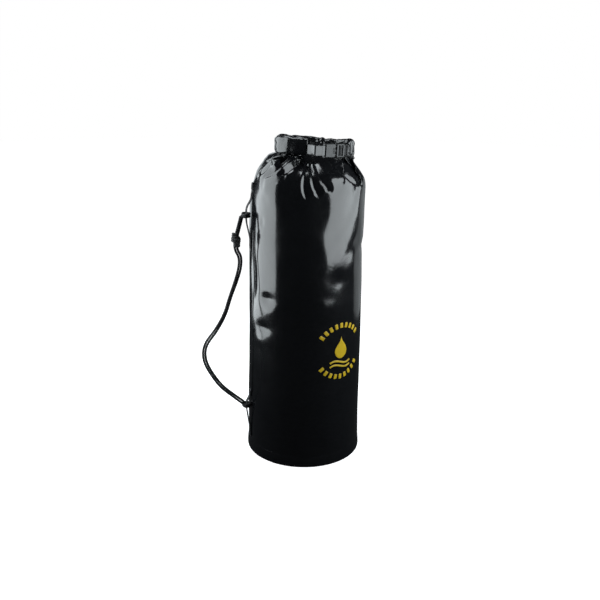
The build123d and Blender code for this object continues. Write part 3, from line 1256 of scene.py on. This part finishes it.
@dataclass
class WebbingLoop:
    """Narrow webbing stitched to the bag, standing off it where the cord is hitched."""

    name: str
    node: str
    path: tuple[tuple[float, float, bool], ...]
    backing: tuple[tuple[float, float], tuple[float, float]]
    tacks: tuple[float, ...]
    width: float = 0.009
    thickness: float = 0.0015
    patch_lift: float = 0.0016
    patch_thickness: float = 0.0009
    patch_steps: int = 20
    tack_stitches: int = 17
    tack_spacing: float = 0.42

    def build(self, probe: SkinProbe, webbing: bpy.types.Material, thread: bpy.types.Material) -> None:
        """Make the strap, the patches behind it and the bar-tacks.

        Args:
            probe: the bag's fabric.
            webbing: finish of the strap.
            thread: finish of the stitches.
        """
        across = side_point(0, 0, 1000).normalized()
        points = []
        for reach, height, attached in self.path:
            if attached:
                points.append(probe.point(SEAM_AZIMUTH, height * MM, reach * MM))
            else:
                points.append(side_point(reach, height))
        strap = ribbon(self.name, bend(points, 3, 0.0012), across, self.width, self.thickness)
        dress(strap, webbing)
        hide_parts(self.node)
        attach(strap, Body.BAG.value)
        for place, (low, high) in zip(("foot", "head"), self.backing):
            behind = [probe.point(SEAM_AZIMUTH, (low + (high - low) * step / self.patch_steps) * MM,
                                  self.patch_lift) for step in range(self.patch_steps + 1)]
            patch = ribbon(f"{self.name}_{place}_patch", behind, across, self.width + 0.002,
                           self.patch_thickness)
            dress(patch, webbing)
            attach(patch, Body.BAG.value)
        bm = bmesh.new()
        lift = self.patch_lift + self.patch_thickness / 2 + self.thickness + 0.0003
        outward = side_point(1000, 0).normalized()
        for height in self.tacks:
            for step in range(self.tack_stitches):
                slant = Vector((0, 0, 0.12)) * (1 if step % 2 else -1)
                from_middle = (step - self.tack_stitches // 2) * self.tack_spacing
                centre = probe.point(SEAM_AZIMUTH, (height + from_middle) * MM, lift)
                add_stitch(bm, centre, across + slant, outward, self.width * 0.74, 0.00028)
        tack = mesh_object(self.name + "_bartacks", bm)
        dress(tack, thread)
        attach(tack, Body.BAG.value)
        log.info("%s ready", self.name)


@dataclass
class RolledMouth:
    """Mouth of the tube rolled over its stiffener and bent round into a C."""

    start: float = math.radians(62)
    arc: float = math.radians(285)
    mean_radius: float = 0.070
    half_width: float = 0.0104
    heights: tuple[tuple[float, float], ...] = (
        (62, 0.0165), (84, 0.0205), (104, 0.0190), (135, 0.0150), (180, 0.0135), (225, 0.0150), (270, 0.0175),
        (300, 0.0184))
    lifts: tuple[tuple[float, float], ...] = (
        (62, -0.0022), (100, -0.0022), (140, -0.0036), (180, -0.0036), (225, -0.0018), (270, 0.0012),
        (305, 0.0034))
    crumples: tuple[tuple[float, float, float], ...] = ((92, 17, 1.9), (165, 26, 1.1), (292, 15, 0.8))
    layer: float = 0.0027
    turns: float = 2.6
    roundness: float = 0.62
    pleat_azimuth: float = 84
    pleat_spread: float = 15
    pleat_width: float = 0.0066
    columns: int = 250
    rows: int = 130

    def build(self, fabric: bpy.types.Material) -> None:
        """Make the roll and tie it to the roll body.

        Args:
            fabric: finish of the roll.
        """
        sheet = surface(self.columns, self.rows, self._place, False, (0.35, 0.26))
        piece = mesh_object("rolled_mouth", sheet)
        thicken(piece, 0.0010, 0.0, 0.0)
        dress(piece, fabric)
        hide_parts("rolled_neck", "mouth_stiffener")
        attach(piece, Body.ROLL.value)
        log.info("rolled mouth ready")

    def _hump(self, azimuth: float, middle: float, spread: float) -> float:
        """Bell curve round a middle, both in degrees, at an azimuth in radians."""
        return math.exp(-((azimuth - math.radians(middle)) / math.radians(spread)) ** 2)

    def _crumple(self, azimuth: float) -> float:
        """How tightly the roll is crumpled at an azimuth."""
        amount = 0.35
        for middle, spread, strength in self.crumples:
            amount += strength * self._hump(azimuth, middle, spread)
        return amount

    def _place(self, across: float, up: float) -> Vector:
        """Point of the rolled sheet.

        Args:
            across: share of the way along the roll, from its right end.
            up: share of the way in from the roll's outer edge.

        Returns:
            The point in the model's frame.
        """
        azimuth = self.start + self.arc * across
        length = self.arc * self.mean_radius
        along = across * self.arc * self.mean_radius
        end = min(along, length - along)
        turn = self.turns * up
        angle = 2 * math.pi * turn - math.pi / 2
        cosine, sine = math.cos(angle), math.sin(angle)
        fat = max(0.0012, self.half_width - self.layer * turn)
        tall = along_turn(azimuth, self.heights) - self.layer * 0.75 * turn
        out = fat * math.copysign(abs(cosine) ** self.roundness, cosine)
        rise = tall * math.copysign(abs(sine) ** self.roundness, sine)
        pinch = smooth(end / 0.02)
        out *= 0.74 + 0.26 * pinch
        rise *= 0.86 + 0.14 * pinch
        push = self._creases(azimuth, along, turn, sine, rise)
        out += push * cosine + 0.0012 * self._noise(along * 13, 4, 0)
        top = max(0.0, sine) ** 2
        sheet = math.floor(turn + 0.25)
        lip = self._noise(along * 24, sheet * 5.3, 2) + 0.3 * self._noise(along * 70, sheet * 3.1, 8)
        rise += push * sine * 1.3 + top * (0.0034 * lip + 0.0016 * self._noise(along * 14, 9, 1))
        out += top * 0.0018 * self._noise(along * 30, sheet * 2.7, 5)
        rise += 0.0012 * self._noise(along * 8, 2, 7) + along_turn(azimuth, self.lifts)
        return TOP.point(azimuth, roll_reach(azimuth) + out, rise)

    def _creases(self, azimuth: float, along: float, turn: float, sine: float, rise: float) -> float:
        """How far creases and pleats push the sheet out.

        Args:
            azimuth: angle from the front towards the right.
            along: distance along the roll.
            turn: turns of the sheet from its outer edge.
            sine: height round the section, from -1 at its foot to 1 at its top.
            rise: height above the roll's middle.

        Returns:
            The push in metres, negative inwards.
        """
        folds = self._noise(along * 85, sine * 0.8, turn * 0.6)
        fine = self._noise(along * 210 + 5, sine * 1.6, turn)
        sharp = 1 - 2.4 * abs(self._noise(along * 60 + 11, sine * 1.3, turn * 0.35))
        slant = 1 - 3.0 * abs(self._noise(along * 45 + rise * 60, rise * 35 + 3, turn * 0.5))
        push = self._crumple(azimuth) * (0.0012 * folds + 0.0005 * fine - 0.0013 * max(0.0, sharp))
        push -= 0.0007 * max(0.0, slant)
        bow = self._hump(azimuth, self.pleat_azimuth, self.pleat_spread)
        waver = 2.2 * sine + 3 * self._noise(along * 40, sine, 3)
        pleat = math.sin(2 * math.pi * along / self.pleat_width + waver)
        return push + bow * (0.0015 * pleat + 0.0012)

    def _noise(self, across: float, up: float, layer: float) -> float:
        """Smooth noise at a place in its own space."""
        return noise.noise(Vector((across, up, layer)))


@dataclass
class Closure:
    """Straps, stitches and moulded details that close the roll."""

    width: float = 0.0190
    thickness: float = 0.0014
    tongue: tuple[tuple[float, float], ...] = (
        (-44.0, -22.0), (-39.5, -13.0), (-36.0, -4.5), (-31.0, -2.2), (-24.6, -3.1), (-18.0, -3.1),
        (-17.4, 0.0), (-18.0, 3.4), (-25.0, 4.3), (-34.0, 4.5), (-40.4, 4.5), (-41.4, 3.4), (-41.6, -1.0),
        (-43.0, -8.0), (-46.0, -16.0))
    strap: tuple[tuple[float, float], ...] = (
        (40.5, -16.4), (33.5, -9.6), (27.0, -5.6), (21.0, -5.0), (19.9, -1.0), (19.8, 3.1), (16.5, 3.6),
        (13.2, 3.1), (13.0, -1.0), (12.6, -5.2), (8.6, -5.5))
    stitch: tuple[float, float] = (0.0019, 0.0003)

    def plan(self, points: Iterable[tuple[float, float]]) -> list[Vector]:
        """Points of a strap seen from above, placed on the buckle.

        Args:
            points: distances along the strap and outward, in millimetres.

        Returns:
            The points in the model's frame.
        """
        return [TOP.buckle @ (Vector((along, 0, outward)) * MM) for along, outward in points]

    def build(self, fabric: bpy.types.Material, webbing: bpy.types.Material,
              thread: bpy.types.Material, plastic: bpy.types.Material) -> None:
        """Make the tongue, the webbing, their stitches and the buckle's grip ribs.

        Args:
            fabric: finish of the tongue.
            webbing: finish of the webbing.
            thread: finish of the stitches.
            plastic: finish of the buckle.
        """
        up = TOP.buckle.to_3x3() @ Vector((0, 1, 0))
        tongue_path = bend(self.plan(self.tongue), 3, 0.001)
        tongue = ribbon("closure_tongue_fabric", tongue_path, up, self.width, self.thickness)
        dress(tongue, fabric)
        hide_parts("closure_tongue")
        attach(tongue, Body.ROLL.value)
        strap_path = bend(self.plan(self.strap), 2, 0.001)
        strap = ribbon("closure_strap_webbing", strap_path, up, self.width, self.thickness)
        dress(strap, webbing)
        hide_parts("closure_webbing")
        start, end = self.plan(((38.0, -14.0), (24.0, -5.4)))
        tuple(start)
        tuple(end)
        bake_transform(strap)
        bm = bmesh.new()
        outward = (TOP.buckle.to_3x3() @ Vector((0, 0, 1))).normalized()
        along = (TOP.buckle.to_3x3() @ Vector((1, 0, 0))).normalized()
        seam = TOP.buckle @ Vector((-0.0300, 0, 0.0050))
        for side in (-1, 1):
            for step in range(4):
                place = seam + up * side * 0.0075 + along * (step - 1.5) * 0.0026
                add_stitch(bm, place, along, outward, *self.stitch)
        for step in range(6):
            add_stitch(bm, seam + up * (step - 2.5) * 0.0027 + along * 0.0046, up, outward, *self.stitch)
        stitches = mesh_object("tongue_stitches", bm)
        dress(stitches, thread)
        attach(stitches, Body.ROLL.value)
        self._ribs("socket_grip_ribs", (-1.0, 1.0, 3.0), 0.0047, 0.0120, Body.ROLL, plastic)
        log.info("closure ready")

    def _ribs(self, name: str, places: tuple[float, ...], face: float, length: float, body: Body,
              plastic: bpy.types.Material) -> None:
        """Rounded ribs across one moulding's outer face.

        Args:
            name: name of the piece.
            places: positions along the strap, in millimetres.
            face: distance of the outer face from the buckle's plane.
            length: length of a rib.
            body: body that the moulding belongs to.
            plastic: finish of the moulding.
        """
        bm = bmesh.new()
        for place in places:
            rib = bmesh.new()
            bmesh.ops.create_cube(rib, size=1)
            bmesh.ops.scale(rib, vec=(0.0010, length, 0.0014), verts=rib.verts)
            bmesh.ops.bevel(rib, geom=list(rib.edges), offset=0.00045, affect="EDGES", segments=3,
                            profile=0.5, material=-1)
            bmesh.ops.translate(rib, vec=(place * MM, 0, face), verts=rib.verts)
            mesh = bpy.data.meshes.new("rib")
            rib.to_mesh(mesh)
            rib.free()
            bm.from_mesh(mesh)
            bpy.data.meshes.remove(mesh)
        bmesh.ops.transform(bm, matrix=TOP.buckle, verts=bm.verts)
        piece = mesh_object(name, bm)
        dress(piece, plastic)
        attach(piece, body.value)


@dataclass
class CarryCord:
    """Doubled carry cord, knotted, and hitched to both webbing loops."""

    diameter: float = 0.005
    knot_height: float = 0.476
    hitch_radius: float = 0.0074
    snug: float = 0.97
    knot_turns: float = 2.15
    knot_length: float = 0.0200
    knot_steps: int = 120
    hitch_steps: int = 22
    hitch_sweep: float = math.radians(670)
    hitch_start: float = math.radians(-25)
    upper_centre: tuple[float, float] = (129.0, 526.0)
    lower_centre: tuple[float, float] = (131.4, 108.0)
    lengths: tuple[float, float] = (0.466, 0.454)
    outer: tuple[tuple[float, float, float], ...] = (
        (140.8, 524.4, -0.5), (147.6, 499.0, -0.5), (154.2, 477.0, 0.0), (153.4, 454.5, 0.6),
        (144.2, 439.5, 1.0), (145.3, 416.8, 0.8), (155.2, 386.0, -0.4), (167.2, 355.0, -1.2),
        (177.3, 321.3, -0.6), (197.8, 286.5, 0.6), (217.8, 263.6, 1.0), (225.3, 241.2, 0.6),
        (222.2, 215.3, 0.0), (208.7, 188.0, -0.5), (189.5, 157.3, -0.3), (162.9, 132.0, 0.4),
        (139.6, 110.6, 0.5))
    inner: tuple[tuple[float, float, float], ...] = (
        (136.7, 521.2, 1.0), (142.9, 497.3, 1.2), (149.1, 475.7, 0.6), (148.3, 455.7, -0.4),
        (139.5, 441.4, -0.8), (140.4, 416.0, -0.6), (150.4, 384.4, 0.6), (162.9, 353.1, 1.4),
        (173.1, 318.8, 0.8), (194.0, 283.3, -0.4), (213.6, 261.1, -0.8), (220.2, 241.2, -0.4),
        (217.3, 216.9, 0.2), (204.5, 190.4, 0.8), (185.7, 160.6, 0.6), (160.1, 136.1, -0.2),
        (138.4, 117.2, -0.4))

    def build(self, cord: bpy.types.Material) -> None:
        """Args:
            cord: finish of the cord.
        """
        routes = [nurbs_points([side_point(*place) for place in route])
                  for route in (self.outer, self.inner)]
        knot = self._knot(routes)
        starts, ends = zip(*((route[0], route[-1]) for route in routes))
        upper = self._hitch("upper_cord_hitch", "upper_hitch", self.upper_centre, starts, 1)
        lower = self._hitch("lower_cord_hitch", "lower_hitch", self.lower_centre, ends, -1)
        for piece in (knot, upper, lower):
            dress(piece, cord)
            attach(piece, Body.CORD.value)
        tied = ([knot, upper, lower], [])
        for side, route, length, others in zip(("outer", "inner"), routes, self.lengths, tied):
            strand = mesh_object(f"carry_cord_{side}", braid_along(route, self.diameter / 2))
            dress(strand, cord)
            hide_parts(f"cord_strand_{side}")
            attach(strand, Body.CORD.value)
            tuple(route[0])
            [tuple(point) for point in route]
            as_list(others)
        log.info("carry cord ready")

    def _knot(self, routes: list[list[Vector]]) -> bpy.types.Object:
        """Overhand knot in the doubled cord: both strands wound twice round themselves.

        Args:
            routes: points along both strands.

        Returns:
            The knot.
        """
        near = [min(range(len(route)), key=lambda i, r=route: abs(r[i].z - self.knot_height))
                for route in routes]
        centre = sum((route[i] for route, i in zip(routes, near)), Vector()) / 2
        axis = sum((route[i - 8] - route[i + 8] for route, i in zip(routes, near)), Vector()).normalized()
        side = axis.cross(side_point(0, 0, 1000).normalized()).normalized()
        ahead = axis.cross(side)
        bm = bmesh.new()
        for strand in (-1, 1):
            points = []
            for step in range(self.knot_steps + 1):
                share = step / self.knot_steps
                turn = 2 * math.pi * self.knot_turns * share + 0.5
                swell = smooth(min(share, 1 - share) / 0.16)
                reach = 0.0028 + 0.0049 * swell + 0.0003 * math.sin(3 * turn + strand)
                rise = ((share - 0.5) * self.knot_length + strand * 0.0023
                        + 0.0026 * math.cos(turn + 0.7) * swell)
                points.append(centre + axis * rise + side * reach * math.cos(turn)
                              + ahead * reach * math.sin(turn))
            add_braid(bm, points, self.diameter / 2 * self.snug)
        piece = mesh_object("carry_cord_knot", bm)
        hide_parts("cord_knot")
        return piece

    def _hitch(self, name: str, node: str, centre: tuple[float, float], ends: tuple[Vector, ...],
               way: int) -> bpy.types.Object:
        """Lark's head round a webbing loop: two turns joined by a bight across the front.

        Args:
            name: name of the piece.
            node: CAD node that it stands for.
            centre: reach and height of the loop, in millimetres.
            ends: where the two strands start.
            way: 1 where the strands leave downwards, -1 where they leave upwards.

        Returns:
            The hitch.
        """
        points = [ends[0]]
        for step in range(self.hitch_steps + 1):
            share = step / self.hitch_steps
            turn = self.hitch_start - self.hitch_sweep * share
            front = smooth((math.cos(turn) + 0.3) / 1.1)
            middle = smooth((share - 0.38) / 0.24)
            rise = (middle * 2 - 1) * 0.0026 * way + 0.0008 * front * math.sin(turn)
            reach = self.hitch_radius * 1.02 + 0.0006 * front * (1 - abs(2 * middle - 1))
            across, back = reach * math.cos(turn) / MM, reach * math.sin(turn) / MM
            points.append(side_point(centre[0] + across, centre[1] + rise / MM, back))
        points.append(ends[1])
        piece = mesh_object(name, braid_along(nurbs_points(points), self.diameter / 2 * self.snug))
        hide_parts(node)
        return piece


UPPER_LOOP = WebbingLoop(
    "upper_loop", "upper_webbing_loop",
    path=((3.4, 577, True), (4.4, 586, True), (4.6, 590, True), (2.8, 591, True), (2.4, 584, True),
          (2.4, 566, True), (3.4, 556, True), (129.0, 541, False), (129.1, 511, False), (4.4, 484, True),
          (2.6, 474, True), (2.4, 456, True)),
    backing=((451, 482), (558, 588)), tacks=(566, 464))
LOWER_LOOP = WebbingLoop(
    "lower_loop", "lower_webbing_loop",
    path=((2.4, 140, True), (2.6, 130, True), (4.4, 124, True), (131.4, 117, False), (131.45, 98, False),
          (4.0, 66, True), (2.6, 56, True), (2.4, 34, True)),
    backing=((31, 64), (126, 144)), tacks=(133, 45))


def dress_cad_parts(fabric: bpy.types.Material, plastic: bpy.types.Material) -> None:
    """Give the CAD parts that stay visible their finishes."""
    for node, finish in (("base_disc", fabric), ("buckle_socket", plastic), ("buckle_plug", plastic),
                         ("upper_prong", plastic), ("lower_prong", plastic)):
        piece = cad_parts[node]
        piece.data.materials.clear()
        piece.data.materials.append(finish)
        log.info("%s dressed", node)


def main() -> None:
    logging.basicConfig(level=logging.INFO, format="%(name)s: %(message)s")
    Studio().build()
    log.info("studio ready")
    fabric = CoatedFabric().material()
    webbing = WovenWebbing().material()
    cord = BraidedCord().material()
    plastic = MouldedPlastic().material()
    ink = PrintInk().material()
    CarryCord().build(cord)
    skin = BagSkin().build()
    dress(skin, fabric)
    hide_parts("bag_tube", "gathered_mouth")
    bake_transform(skin)
    log.info("bag skin ready: %d vertices", len(skin.data.vertices))
    probe = SkinProbe(skin)
    BaseBand().build(fabric)
    SideStrip().build(probe, fabric)
    Emblem().build(probe, ink)
    for loop in (UPPER_LOOP, LOWER_LOOP):
        loop.build(probe, webbing, cord)
    RolledMouth().build(fabric)
    Closure().build(fabric, webbing, cord, plastic)
    dress_cad_parts(fabric, plastic)


if __name__ == "__main__":
    main()
